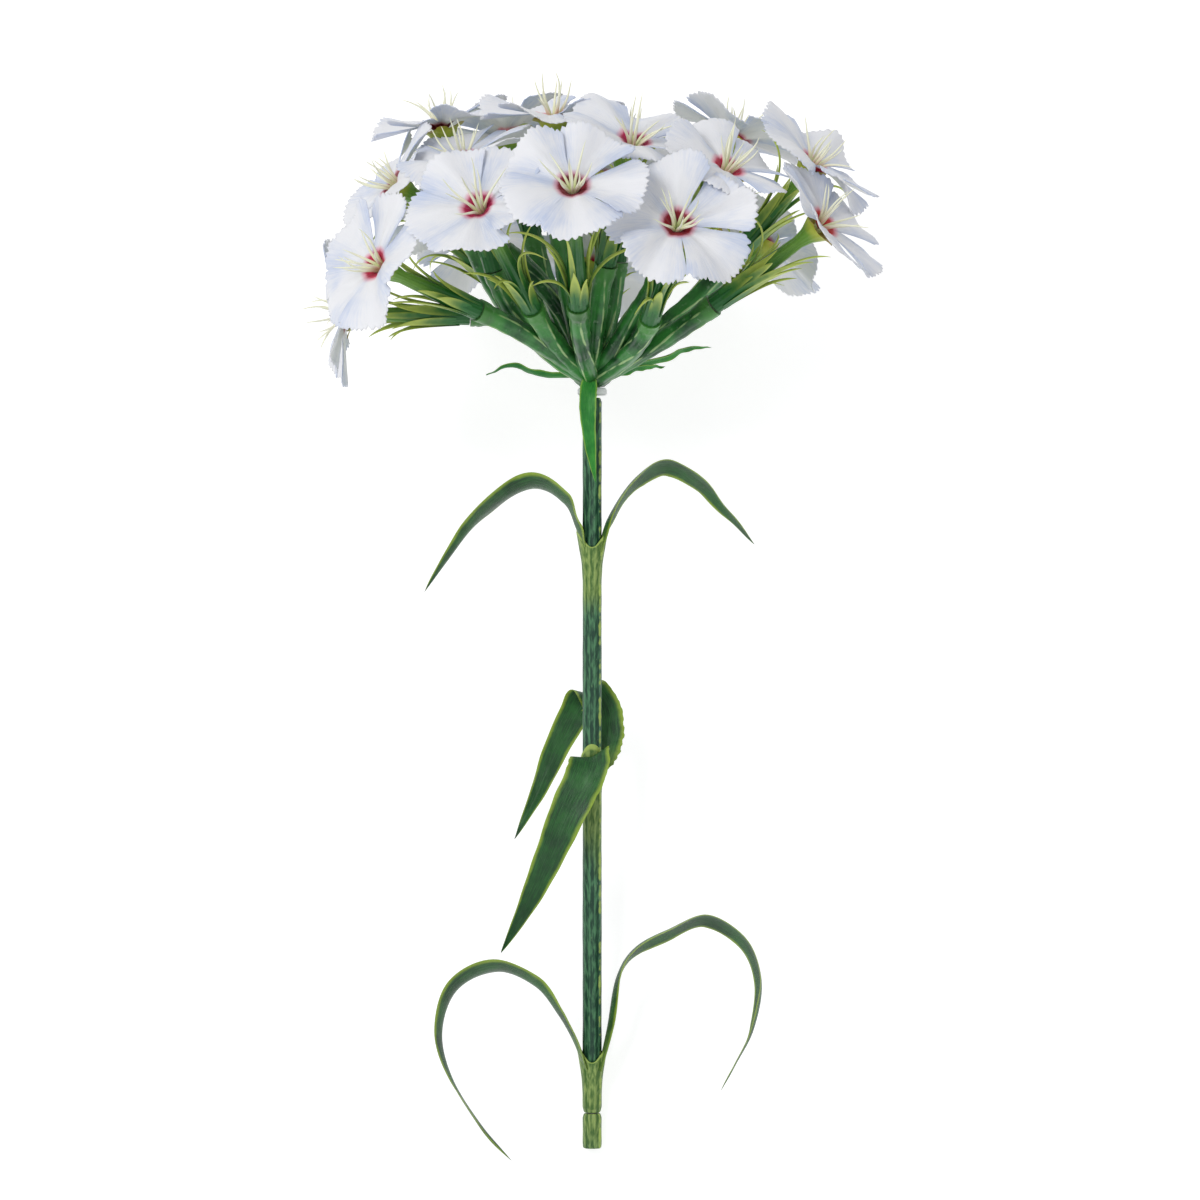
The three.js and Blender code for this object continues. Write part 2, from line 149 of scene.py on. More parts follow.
class Finish:
    """One material: its nodes are added by name, with settings first and then values or links."""

    def __init__(self, name, **fixed):
        self.material = bpy.data.materials.new(name)
        self.material.use_nodes = True
        self.tree = self.material.node_tree
        self.shader = self.tree.nodes["Principled BSDF"]
        for socket, value in fixed.items():
            self.shader.inputs[socket.replace("_", " ")].default_value = value

    def node(self, kind, settings=None, inputs=None, output=0):
        """Adds one node: its settings, then a link for each Shade and a value for each other input."""
        made = self.tree.nodes.new(kind)
        for setting, value in (settings or {}).items():
            setattr(made, setting, value)
        for socket, value in (inputs or {}).items():
            if isinstance(value, Shade):
                self.tree.links.new(value.socket, made.inputs[socket])
            else:
                made.inputs[socket].default_value = value
        return Shade(self, made.outputs[output])

    def attribute(self, name, output="Fac"):
        """A value that the mesh carries at each of its points."""
        return self.node("ShaderNodeAttribute", {"attribute_name": name}, output=output)

    def along_stem(self, stretch):
        """Object coordinates turned to the stem's axis and drawn out along it."""
        place = self.node("ShaderNodeTexCoord", output="Object")
        turned = {"Vector": place, "Rotation": (-stem_tilt, 0, 0), "Scale": (1, 1 / stretch, 1)}
        return self.node("ShaderNodeMapping", {"vector_type": "POINT"}, turned)

    def noise(self, place, scale, detail=3.0, roughness=0.55):
        inputs = {"Vector": place, "Scale": scale, "Detail": detail, "Roughness": roughness}
        return self.node("ShaderNodeTexNoise", {}, inputs)

    def step(self, value, low, high):
        """0 below low, 1 above high and a smooth rise between them."""
        inputs = {"Value": value, "From Min": low, "From Max": high}
        return self.node("ShaderNodeMapRange", {"interpolation_type": "SMOOTHSTEP"}, inputs)

    def mix(self, first, second, share):
        """The first colour, going over to the second as the share goes from 0 to 1."""
        settings = {"data_type": "RGBA"}
        return self.node("ShaderNodeMix", settings, {0: share, 6: first, 7: second}, output=2)

    def bump(self, height, distance, strength=1.0):
        """A normal tilted by the slope of a height, whose full rise is the distance in metres."""
        inputs = {"Height": height, "Distance": distance, "Strength": strength}
        return self.node("ShaderNodeBump", {}, inputs)

    def wear(self, **links):
        """Links values that change over the surface to the shader's own sockets."""
        for socket, value in links.items():
            self.tree.links.new(value.socket, self.shader.inputs[socket.replace("_", " ")])
        return self.material


FLOOR_HALF = 3.0
FLOOR_GREY = (0.45, 0.45, 0.45, 1)
FLOOR_GLOW = 0.76
SKY_TINT = (0.95, 0.97, 1.0, 1)
SKY_STRENGTH = 0.53
LAMP_AIM = [0, 170, 0]
LAMPS = [("key_light", [-420, 560, 860], 0.35, 4.4), ("fill_light", [240, -260, 1000], 1.0, 1.5)]

floor_mesh = bpy.data.meshes.new("studio_floor")
corners = [(x * FLOOR_HALF, y * FLOOR_HALF, 0) for x, y in ((-1, -1), (1, -1), (1, 1), (-1, 1))]
floor_mesh.from_pydata(corners, [], [(0, 1, 2, 3)])
floor = bpy.data.objects.new("studio_floor", floor_mesh)
bpy.context.scene.collection.objects.link(floor)
floor_finish = Finish(
    "white_floor", Roughness=0.9, Base_Color=FLOOR_GREY,
    Emission_Color=(1, 1, 1, 1), Emission_Strength=FLOOR_GLOW,
)
floor_mesh.materials.append(floor_finish.material)

world = bpy.data.worlds.new("studio")
world.use_nodes = True
sky = world.node_tree.nodes["Background"]
sky.inputs["Color"].default_value = SKY_TINT
sky.inputs["Strength"].default_value = SKY_STRENGTH
bpy.context.scene.world = world
bpy.context.scene.view_settings.view_transform = "Standard"

for lamp_name, place, size, watts in LAMPS:
    lamp = bpy.data.lights.new(lamp_name, "AREA")
    lamp.size = size
    lamp.energy = watts
    lamp_object = bpy.data.objects.new(lamp_name, lamp)
    spot = on_stem(place)
    ahead = unit(on_stem(LAMP_AIM) - spot)
    sideways = unit(np.cross(ahead, up))
    aimed = np.eye(4)
    aimed[:3, :3] = np.stack([sideways, np.cross(sideways, ahead), -ahead], axis=1)
    aimed[:3, 3] = spot
    lamp_object.matrix_world = Matrix(aimed.tolist())
    bpy.context.scene.collection.objects.link(lamp_object)


# The sleeves: hard moulded tubes threaded on the wire. Each has fine ribs along it, a rough seam
# of flash down its right side, and a narrow end where it pushes into the next one.

MERGE_DISTANCE = 0.001 * MM


class Moulding:
    """One piece's surface, gathered from grids of points and turned into a mesh at the end."""

    def __init__(self):
        self.points = []
        self.faces = []
        self.values = {}
        self.finishes = []
        self.count = 0

    def add(self, grid, finish=0, loop_rows=False, loop_columns=True, **values):
        """Adds a grid of rows and columns of points. A loop joins the last row or column to the first."""
        rows, columns = grid.shape[:2]
        numbers = np.arange(rows * columns).reshape(rows, columns)
        if loop_rows:
            numbers = np.vstack([numbers, numbers[:1]])
        if loop_columns:
            numbers = np.hstack([numbers, numbers[:, :1]])
        faces = np.stack(
            [numbers[:-1, :-1], numbers[:-1, 1:], numbers[1:, 1:], numbers[1:, :-1]], axis=-1
        ).reshape(-1, 4)
        flat = grid.reshape(-1, 3)
        if loop_columns:
            a, b, c, d = (flat[faces[:, i]] - flat.mean(axis=0) for i in range(4))
            if np.sum(a * np.cross(b, c)) + np.sum(a * np.cross(c, d)) < 0:
                faces = faces[:, ::-1]
        self.points.append(flat)
        self.faces.append(faces + self.count)
        self.finishes.append(np.full(len(faces), finish))
        for name, value in values.items():
            self.values.setdefault(name, []).append(np.broadcast_to(value, (rows, columns)).ravel())
        self.count += rows * columns

    def make(self, name, materials, sharp=60):
        """Makes the object, with points that coincide merged and the gathered values as attributes."""
        mesh = bpy.data.meshes.new(name)
        points = np.concatenate(self.points)
        faces = np.concatenate(self.faces)
        mesh.vertices.add(len(points))
        mesh.vertices.foreach_set("co", points.ravel())
        mesh.loops.add(faces.size)
        mesh.loops.foreach_set("vertex_index", faces.ravel())
        mesh.polygons.add(len(faces))
        mesh.polygons.foreach_set("loop_start", np.arange(0, faces.size, 4))
        mesh.polygons.foreach_set("material_index", np.concatenate(self.finishes))
        mesh.update(calc_edges=True)
        for label, values in self.values.items():
            attribute = mesh.attributes.new(label, "FLOAT", "POINT")
            attribute.data.foreach_set("value", np.concatenate(values))
        shape = bmesh.new()
        shape.from_mesh(mesh)
        bmesh.ops.remove_doubles(shape, verts=shape.verts, dist=MERGE_DISTANCE)
        shape.to_mesh(mesh)
        shape.free()
        mesh.polygons.foreach_set("use_smooth", np.ones(len(mesh.polygons), bool))
        mesh.set_sharp_from_angle(angle=math.radians(sharp))
        for material in materials:
            mesh.materials.append(material)
        piece = bpy.data.objects.new(name, mesh)
        bpy.context.scene.collection.objects.link(piece)
        return piece


def fit_in(piece, slot, *nodes):
    """Sets a finished piece on the root and hides the nodes that it stands for; the slot, which names what
    it is made of, is not used.
    """
    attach(piece, "root")
    if nodes:
        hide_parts(*nodes)


def waver(places, seed, *lengths):
    """A smooth uneven wave between about -1 and 1: one sine for each length, at a seeded phase."""
    phases = np.random.default_rng(seed).uniform(0, 2 * np.pi, len(lengths))
    waves = [np.sin(2 * np.pi * places / length + phase) for length, phase in zip(lengths, phases)]
    return sum(waves) / len(waves)


STEM_RADIUS = 2.6
SLEEVE_NECK = 2.3
CUP_INNER = 2.9
BORE = 1.2
WALL = 0.5
EDGE_IN = 0.2
EDGE_UP = 0.3
SHOULDER = 1.5
JOINTS = {"foot": 10, "lower": 24, "middle": 108, "upper": 168, "neck": 210.3}
SEAM_HEIGHT = 0.4
SEAM_WIDTH = 0.19
SEAM_TURN = 0.62
RIBS = 10
FINE_RIBS = 23
RIB_HEIGHT = 0.06
UNEVENNESS = 0.05
CUP_DEPTH = 5
CUP_FLARE = 1.0
CUP_RISE = 3.4
CUP_DIP = 1.6


def outline(corners, pitch):
    """The corners of an outline, joined by straight lines with points at most a pitch apart."""
    corners = np.array(corners, float)
    lengths = np.linalg.norm(np.diff(corners, axis=0), axis=1)
    stretches = [
        np.linspace(start, end, max(2, int(length / pitch) + 1), endpoint=False)
        for start, end, length in zip(corners[:-1], corners[1:], lengths)
    ]
    return np.concatenate(stretches)


def turned(radius, height, angle):
    """Points at a radius, height and angle about the stem's axis, in the frame's metres."""
    return on_stem(np.stack([radius * np.cos(angle), height + 0 * angle, radius * np.sin(angle)], axis=-1))


def sleeve_grid(corners, seed, lobe_turn=None, sides=84):
    """A closed outline of radius and height, turned about the stem. The outside is raised by two
    cosines of the angle, as broad and fine ribs, by a slow uneven wave, and by a seam that is a bell
    curve of the angle and wavers along the stem. A cup's rim is drawn up and out by the squared
    cosine of the angle from its two lobes, and down between them."""
    ring = outline(corners, 0.8)
    angle = np.linspace(0, 2 * np.pi, sides, endpoint=False)[None, :]
    radius = ring[:, :1]
    height = ring[:, 1:]
    outside = radius > BORE + WALL
    ribs = np.cos(RIBS * angle) + 0.5 * np.cos(FINE_RIBS * angle + 2)
    uneven = UNEVENNESS * waver(height + 2 * np.sin(angle), seed, 7, 17, 41)
    seam_angle = np.angle(np.exp(1j * (angle - SEAM_TURN)))
    ragged = np.clip(0.42 + waver(height, seed + 1, 2.3, 5.1, 11, 29), 0, None)
    seam = SEAM_HEIGHT * np.exp(-((seam_angle / SEAM_WIDTH) ** 2)) * ragged
    rim = 0 * height
    if lobe_turn is not None:
        in_cup = np.clip((height - height.max() + CUP_DEPTH) / CUP_DEPTH, 0, 1)
        rim = (radius > CUP_INNER - 0.01) * in_cup**2
    lobe = np.cos(angle - (lobe_turn or 0)) ** 2
    radius = radius + outside * (RIB_HEIGHT * ribs + uneven + seam) + CUP_FLARE * rim * lobe
    height = height + rim * (CUP_RISE * lobe - CUP_DIP * (1 - lobe))
    seam_pale = np.clip(1.5 * seam / SEAM_HEIGHT, 0, 1)
    rim_pale = np.clip(2.5 * rim - 1.5, 0, 1)
    pale = np.maximum(outside * seam_pale, 1.2 * rim_pale)
    return turned(radius, height, angle), {"height": height, "seam": pale, "rib": ribs + 0 * height}


def plain_sleeve(bottom, top, low_neck, high_neck):
    """The outline of a bored tube with a rounded narrowing at each end."""
    return [
        (BORE, bottom), (low_neck - EDGE_IN, bottom), (low_neck, bottom + EDGE_UP),
        (STEM_RADIUS, bottom + SHOULDER), (STEM_RADIUS, top - SHOULDER), (high_neck, top - 2 * EDGE_UP),
        (high_neck - EDGE_IN, top - EDGE_UP), (BORE, top - EDGE_UP), (BORE, bottom),
    ]


def cupped_sleeve(bottom, top):
    """The outline of a bored tube whose top swells into a thin cup round the next sleeve's end."""
    return [
        (BORE, bottom), (SLEEVE_NECK - EDGE_IN, bottom), (SLEEVE_NECK, bottom + EDGE_UP),
        (STEM_RADIUS, bottom + SHOULDER), (STEM_RADIUS, top - 9), (STEM_RADIUS + 0.3, top - 4.5),
        (STEM_RADIUS + 0.75, top - 1), (CUP_INNER + 0.6, top + 1.4), (CUP_INNER + 0.4, top + 1.8),
        (CUP_INNER, top + 1.6), (CUP_INNER, top - EDGE_UP), (BORE, top - EDGE_UP), (BORE, bottom),
    ]


def stem_finish(name, light_from, light_to):
    """Bluish green plastic, streaked along the stem, that pales to olive between two heights and
    on the seam; heights are in millimetres above the foot."""
    finish = Finish(name, Coat_Weight=0.06, Coat_Roughness=0.3, Specular_IOR_Level=0.35)
    height = finish.attribute("height")
    seam = finish.attribute("seam")
    rib = finish.attribute("rib")
    streaks = finish.noise(finish.along_stem(110), 1300, 2) * 0.75 + 0.13 + rib * 0.07
    blotches = finish.noise(finish.along_stem(4), 160, 3)
    dark = finish.mix(rgb(20, 62, 44), rgb(78, 130, 90), finish.step(streaks, 0.4, 0.68))
    olive = finish.mix(rgb(70, 106, 44), rgb(144, 168, 92), finish.step(streaks, 0.36, 0.68))
    edge = height + (blotches - 0.5) * 26
    paleness = finish.step(edge, light_from, light_to)
    body = finish.mix(dark, olive, paleness)
    flecks = finish.step(finish.noise(finish.along_stem(8), 1500, 2), 0.68, 0.76) * 0.35
    body = finish.mix(body, rgb(150, 176, 130), flecks)
    body = finish.mix(body, rgb(164, 188, 92), finish.step(seam + blotches * 0.3, 0.4, 0.85) * 0.85)
    return finish.wear(
        Base_Color=body,
        Roughness=0.36 + 0.25 * blotches,
        Normal=finish.bump(streaks * 0.6 + blotches * 0.4, 0.00025),
    )


foot_moulding = Moulding()
grid, values = sleeve_grid(plain_sleeve(0, JOINTS["foot"], STEM_RADIUS - 0.1, 2.35), 3)
foot_moulding.add(grid, loop_rows=True, **values)
foot_piece = foot_moulding.make("foot_moulding", [stem_finish("foot_green", -22, 6)])
fit_in(foot_piece, "stem_plastic", "foot_sleeve")

neck_moulding = Moulding()
neck_outline = plain_sleeve(JOINTS["upper"], JOINTS["neck"], STEM_RADIUS - 0.1, STEM_RADIUS - 0.3)
grid, values = sleeve_grid(neck_outline, 8)
neck_moulding.add(grid, loop_rows=True, **values)
neck_piece = neck_moulding.make("neck_moulding", [stem_finish("neck_green", 214, 232)])
fit_in(neck_piece, "stem_plastic", "neck_sleeve")

wire_finish = Finish("drawn_wire", Metallic=1.0)
wire_lines = wire_finish.noise(wire_finish.along_stem(30), 3000, 2)
wire_finish.wear(
    Base_Color=wire_finish.mix(rgb(120, 122, 124), rgb(168, 169, 170), wire_lines),
    Roughness=0.3 + 0.2 * wire_lines,
)
wire_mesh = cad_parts["stem_wire"].data
wire_mesh.materials.clear()
wire_mesh.materials.append(wire_finish.material)


# The leaf pairs: thin glossy blades moulded in one with their sleeve. Each rises from the cup,
# arches over and droops to a point; its edges are airbrushed yellow-green.

LEAVES = {
    "upper": [
        ([(-2, 167, 0), (-4.5, 174, 0.5), (-8, 181, 1), (-17, 185.5, 1.5), (-30, 178, 2), (-39, 167, 2),
          (-47, 155.5, 1)], (-0.15, 0.45, 1), 6.9),
        ([(2, 167, 0), (4.5, 176, 0.5), (12, 187, 1), (21, 191.5, 2), (31, 186, 2), (38, 178, 1),
          (45.5, 169, 0)], (0.15, 0.45, 1), 6.9),
    ],
    "middle": [
        ([(0, 105.5, 2), (0, 109.5, 5), (-1.5, 105, 8), (-6, 96, 9), (-12, 82, 9.5), (-18, 69, 9),
          (-25.5, 55, 6)], (1, 0.35, 0), 6.2),
        ([(1, 105.5, -2), (3.2, 113, -4.5), (2.8, 122, -6.5), (-1, 127, -9), (-5, 121, -11.5),
          (-11, 109, -12), (-16, 97, -11), (-22, 86, -9)], (1, 0.3, 0.25), 5.8),
    ],
    "lower": [
        ([(-2, 22, 0.5), (-5, 30, 2), (-9.5, 38, 3), (-16, 46, 4), (-27, 50.5, 5), (-38, 45, 6),
          (-42, 33, 6), (-39, 20, 5.5), (-31, 7, 5), (-22.5, -3, 4)], (-0.15, 0.45, 1), 7.0),
        ([(2, 22, 0.5), (4.5, 34, 1.5), (7, 48, 2.5), (12, 56, 3.5), (21, 61, 4.5), (32, 65, 5.5),
          (42.5, 58.5, 6), (47, 47, 6), (45, 34, 5.5), (40, 24, 5), (36, 16.5, 4)], (0.15, 0.45, 1), 6.8),
    ],
}
CUP_LOBES = {"lower": 0, "middle": np.pi / 2, "upper": 0}
WIDENING = {"lower": 0.34, "middle": 0.09, "upper": 0.26}
PALE_HEIGHTS = {"lower": (-8, 14), "middle": (76, 92), "upper": (144, 156)}
BLADE_THICKNESS = 0.8
RAGGEDNESS = 0.09
MIDRIB = 0.16
EDGE_ROLL = 0.35


def flowing(route, count):
    """Points and forward directions on the Catmull-Rom curve through the route: in each stretch the
    cubic through its two ends whose slopes are half the chord between their neighbours."""
    stops = np.array(route, float)
    stops = np.vstack([2 * stops[0] - stops[1], stops, 2 * stops[-1] - stops[-2]])
    place = np.linspace(0, len(route) - 1, count)
    first = np.minimum(place.astype(int), len(route) - 2)
    t = (place - first)[:, None]
    a, b, c, d = (stops[first + i] for i in range(4))
    square = 2 * a - 5 * b + 4 * c - d
    cube = 3 * b - a - 3 * c + d
    points = 0.5 * (2 * b + (c - a) * t + square * t**2 + cube * t**3)
    ahead = 0.5 * ((c - a) + 2 * square * t + 3 * cube * t**2)
    return points, unit(ahead)


def blade_grid(route, across, half_width, seed, widening=0.13, rows=110, columns=36, keel=0.25):
    """A flat ellipse carried along the route. Its half width rises fast from the stalk and falls to
    a point as one minus a power of the way along; its sides lift to a keel, and near the stalk its
    edges are ragged."""
    middle, ahead = flowing(route, rows)
    side = np.array(across, float) - (ahead @ np.array(across, float))[:, None] * ahead
    side = unit(side)
    over = np.cross(ahead, side)
    along = np.linspace(0, 1, rows)[:, None]
    angle = np.linspace(0, 2 * np.pi, columns, endpoint=False)[None, :]
    across_share = np.cos(angle)
    half = half_width * (0.4 + 0.6 * (1 - np.exp(-along / widening))) * np.clip(1 - along**2.4, 0, 1) ** 0.85
    edge_place = along + 0.3 * np.sign(across_share)
    ragged = RAGGEDNESS * np.exp(-((along / 0.3) ** 2)) * waver(edge_place, seed, 0.013, 0.03, 0.07)
    wavy = 1 + ragged * np.abs(across_share) ** 3 + 0.03 * waver(along, seed + 1, 0.11, 0.27)
    reach = half * across_share * wavy
    rib = MIDRIB * np.exp(-((across_share / 0.1) ** 2)) * (1 - along)
    roll = EDGE_ROLL * np.abs(across_share) ** 2 * waver(along, seed + 2, 0.21, 0.34)
    lift = keel * half * np.abs(across_share) ** 1.4 + roll
    thick = 0.5 * BLADE_THICKNESS * (1 - 0.6 * along) * np.sin(angle) - rib * np.sign(np.sin(angle))
    thick = thick * np.clip(half / 1.2, 0.02, 1)
    grid = middle[:, None] + side[:, None] * reach[..., None] + over[:, None] * (lift + thick)[..., None]
    grid = np.concatenate([np.broadcast_to(grid[:1].mean(axis=1, keepdims=True), grid[:1].shape), grid])
    along = np.vstack([along[:1], along])
    return on_stem(grid), across_share + 0 * along, along + 0 * across_share


def leaf_finish(name, dark, mid, rim):
    """Glossy green, darker and lighter in streaks along the blade, with an airbrushed rim."""
    finish = Finish(name, Coat_Weight=0.08, Coat_Roughness=0.25, Specular_IOR_Level=0.4)
    across = finish.attribute("across")
    along = finish.attribute("along")
    lengthways = finish.node("ShaderNodeCombineXYZ", {}, {0: across * 9, 1: along * 5, 2: 0})
    streaks = finish.noise(lengthways, 2.4, 4)
    fine = finish.noise(finish.node("ShaderNodeCombineXYZ", {}, {0: across * 30, 1: along * 6, 2: 3}), 2, 2)
    cloud = finish.noise(finish.node("ShaderNodeTexCoord", output="Object"), 140, 3)
    body = finish.mix(dark, mid, finish.step(streaks * 0.6 + cloud * 0.5, 0.42, 0.72))
    edge = abs(across) + (cloud - 0.5) * 0.3 + along * 0.05
    body = finish.mix(body, rim, finish.step(edge, 0.74, 0.99) * 0.85)
    stalk = finish.step(0.16 - along + (cloud - 0.5) * 0.1, 0.0, 0.14)
    body = finish.mix(body, rgb(116, 146, 70), stalk * 0.7)
    return finish.wear(
        Base_Color=body,
        Roughness=0.3 + 0.22 * cloud,
        Normal=finish.bump(fine * 0.7 + streaks * 0.5, 0.0002),
    )


leaf_green = leaf_finish("leaf_green", rgb(14, 64, 26), rgb(44, 108, 44), rgb(154, 182, 56))
for number, (below, level) in enumerate((("foot", "lower"), ("lower", "middle"), ("middle", "upper"))):
    moulding = Moulding()
    sleeve = cupped_sleeve(JOINTS[below], JOINTS[level])
    grid, values = sleeve_grid(sleeve, 20 + number, CUP_LOBES[level])
    moulding.add(grid, loop_rows=True, across=0, along=0, **values)
    for count, (route, across, half_width) in enumerate(LEAVES[level]):
        seed = 40 + 10 * number + count
        grid, over_share, along = blade_grid(route, across, half_width, seed, WIDENING[level])
        moulding.add(grid, finish=1, height=0, seam=0, rib=0, across=over_share, along=along)
    materials = [stem_finish(f"{level}_sleeve_green", *PALE_HEIGHTS[level]), leaf_green]
    piece = moulding.make(f"{level}_leaf_moulding", materials)
    fit_in(piece, "leaf_plastic", f"{level}_leaf_sleeve")


# The neck washer: a turned ring of clear plastic that keeps the head off the neck sleeve.

WASHER_LOW = 210.65
WASHER_HIGH = 212.75
WASHER_RADIUS = 4.1
WASHER_FACE = 3.7
WASHER_EDGE = 0.5
washer_corners = [
    (BORE, WASHER_LOW), (WASHER_FACE, WASHER_LOW), (WASHER_RADIUS, WASHER_LOW + WASHER_EDGE),
    (WASHER_RADIUS, WASHER_HIGH - WASHER_EDGE), (WASHER_FACE, WASHER_HIGH), (BORE, WASHER_HIGH),
    (BORE, WASHER_LOW),
]
washer = Moulding()
ring = outline(washer_corners, 0.3)
angle = np.linspace(0, 2 * np.pi, 48, endpoint=False)[None, :]
washer.add(turned(ring[:, :1], ring[:, 1:], angle), loop_rows=True)
washer_finish = Finish("milky_washer", Transmission_Weight=0.55, IOR=1.45, Roughness=0.3)
washer_cloud = washer_finish.noise(washer_finish.node("ShaderNodeTexCoord", output="Object"), 400)
washer_finish.wear(Base_Color=washer_finish.mix(rgb(214, 220, 216), rgb(242, 244, 242), washer_cloud))
fit_in(washer.make("clear_washer", [washer_finish.material]), "washer_plastic", "neck_washer")


# The florets' places. Each calyx node is turned about its own axis, so its points give that axis
# and its mouth; the notches of its corolla node give how the petals are turned.

PETALS = 5
NODE_LENGTH = 19.5
PIN_LENGTH = 2.8
NOTCH_INNER = 5.5
NOTCH_OUTER = 9
PETAL_CORE = 0.4
RIM_SHARE = 0.97


class Floret:
    """One floret's own directions: `out` along its axis, `side` and `rise` across it."""

    def __init__(self, number):
        """The axis is the line along which the calyx's points spread most. The notches' phase is the
        angle of the sum of the fifth powers of the unit numbers at the corolla's points between the
        petals. Each petal's reach and rim height come from the outermost points near its middle."""
        self.number = number
        self.label = f"{number:02d}"
        tube = node_points(f"calyx_{self.label}")
        dish = node_points(f"corolla_{self.label}")
        middle, axis = long_axis(tube)
        self.out = axis * np.sign((dish.mean(axis=0) - middle) @ axis)
        reach = (tube - middle) @ self.out
        self.tube = np.ptp(reach) / MM - PIN_LENGTH
        self.mouth = middle + reach.max() * self.out
        self.side = unit(np.cross(self.out, up))
        self.rise = np.cross(self.side, self.out)
        flat = (dish - self.mouth) @ np.stack([self.side, self.rise, self.out], axis=1) / MM
        radius = np.hypot(flat[:, 0], flat[:, 1])
        angle = np.arctan2(flat[:, 1], flat[:, 0])
        notches = (radius > NOTCH_INNER) & (radius < NOTCH_OUTER)
        self.first_notch = np.angle(np.exp(1j * PETALS * angle[notches]).sum()) / PETALS
        spans = self.first_notch + np.arange(PETALS) * 2 * np.pi / PETALS
        middles = spans + np.pi / PETALS
        near = np.abs(np.angle(np.exp(1j * (angle[:, None] - middles)))) < PETAL_CORE
        outward = np.where(near, radius[:, None], 0)
        self.reaches = outward.max(axis=0) / NODE_LENGTH
        rim = outward > RIM_SHARE * outward.max(axis=0)
        self.rim_heights = (rim * flat[:, 2:]).sum(axis=0) / rim.sum(axis=0)
        self.petal_angles = middles

    def place(self, points):
        """Places in millimetres along side, rise and out, in the frame's metres."""
        return self.mouth + MM * points @ np.stack([self.side, self.rise, self.out])


floret_count = sum(name.startswith("calyx_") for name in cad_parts)
florets = [Floret(number + 1) for number in range(floret_count)]


# The umbel hub: the head's boss, moulded in one with a ribbed branch for each floret and with
# narrow leaves. Each branch bows outwards and ends in a collar that a calyx plugs into.

HUB_HEIGHT = 214.8
HUB_BOTTOM = 213.1
CALYX_GAP = 0.3
BRANCH_RADIUS = 2.75
BRANCH_BEND = 0.45
LOBE_HEIGHT = 0.26
LINE_HEIGHT = 0.2
LINE_WIDTH = 0.13
COLLAR_LENGTH = 4
COLLAR_SWELL = 0.5
COLLAR_GROOVE = 0.3
GROOVE_PLACE = 1.6
HUB_LEAVES = [
    ([(-0.5, 215.5, 4), (-1, 212, 6), (-1.2, 205, 7.2), (-0.4, 195.5, 7), (1, 186, 5.5)], (1, 0, 0), 2.7),
    ([(-4, 216, 2), (-14, 216, 5), (-22.5, 218.5, 6), (-29.5, 216, 5)], (0, 0.5, 1), 1.8),
    ([(4, 216, 2), (13.5, 218.5, 5), (20.5, 218.5, 5)], (0, 0.5, 1), 1.8),
    ([(4, 218, 0), (19, 221, 0), (27, 224, 1), (33.5, 224, 1)], (0, 0.5, 1), 1.8),
]
hub_middle = on_stem([0, HUB_HEIGHT, 0])


def branch_grid(floret, rows=46, columns=72):
    """A tube on the quadratic curve from the hub to a floret's socket. Its radius carries five
    rounded lobes and four narrow mould lines that fade into the collar, and its end closes in a
    shallow dish."""
    socket = floret.mouth - (floret.tube + CALYX_GAP) * MM * floret.out
    bend = socket - BRANCH_BEND * np.linalg.norm(socket - hub_middle) * floret.out
    t = np.linspace(0, 1, rows)[:, None]
    middle = (1 - t) ** 2 * hub_middle + 2 * t * (1 - t) * bend + t**2 * socket
    ahead = unit(2 * (1 - t) * (bend - hub_middle) + 2 * t * (socket - bend))
    side = unit(np.cross(ahead, front + 0.3 * right))
    over = np.cross(ahead, side)
    length = np.linalg.norm(socket - hub_middle) / MM
    angle = np.linspace(0, 2 * np.pi, columns, endpoint=False)[None, :]
    to_end = (1 - t) * length
    collar = 1 / (1 + np.exp((to_end - COLLAR_LENGTH) / 0.35))
    lobes = LOBE_HEIGHT * (np.abs(np.cos(2.5 * angle + 0.8 * t)) - 0.5) * (1 - collar)
    line_angle = np.angle(np.exp(4j * (angle + 0.35 * waver(t * length, 60 + floret.number, 47)))) / 4
    line = np.exp(-((line_angle / LINE_WIDTH) ** 2)) * (1 - 0.7 * collar)
    line = line * np.clip(0.75 + 0.5 * waver(t * length + 4 * angle, 30 + floret.number, 5, 13), 0, 1)
    uneven = 0.12 * waver(t * length + np.cos(angle), 90 + floret.number, 6, 15)
    radius = BRANCH_RADIUS * (0.86 + 0.12 * t) + lobes + LINE_HEIGHT * line + uneven + COLLAR_SWELL * collar
    radius = radius - COLLAR_GROOVE * collar * np.exp(-(((to_end - GROOVE_PLACE) / 0.35) ** 2))
    ring = side[:, None] * np.cos(angle)[..., None] + over[:, None] * np.sin(angle)[..., None]
    grid = middle[:, None] + MM * radius[..., None] * ring
    lip = middle[-1] + MM * (radius[-1] * 0.72)[:, None] * ring[-1] - 0.1 * MM * ahead[-1]
    floor_of_dish = np.broadcast_to(middle[-1] - 0.5 * MM * ahead[-1], lip.shape)
    start = np.broadcast_to(middle[0], lip.shape)
    grid = np.concatenate([start[None], grid, lip[None], floor_of_dish[None]])
    line_share = np.concatenate([line[:1], line, 0 * line[:1], 0 * line[:1]])
    along = np.concatenate([t[:1], t, t[-1:], t[-1:]]) + 0 * angle
    return grid, line_share, along


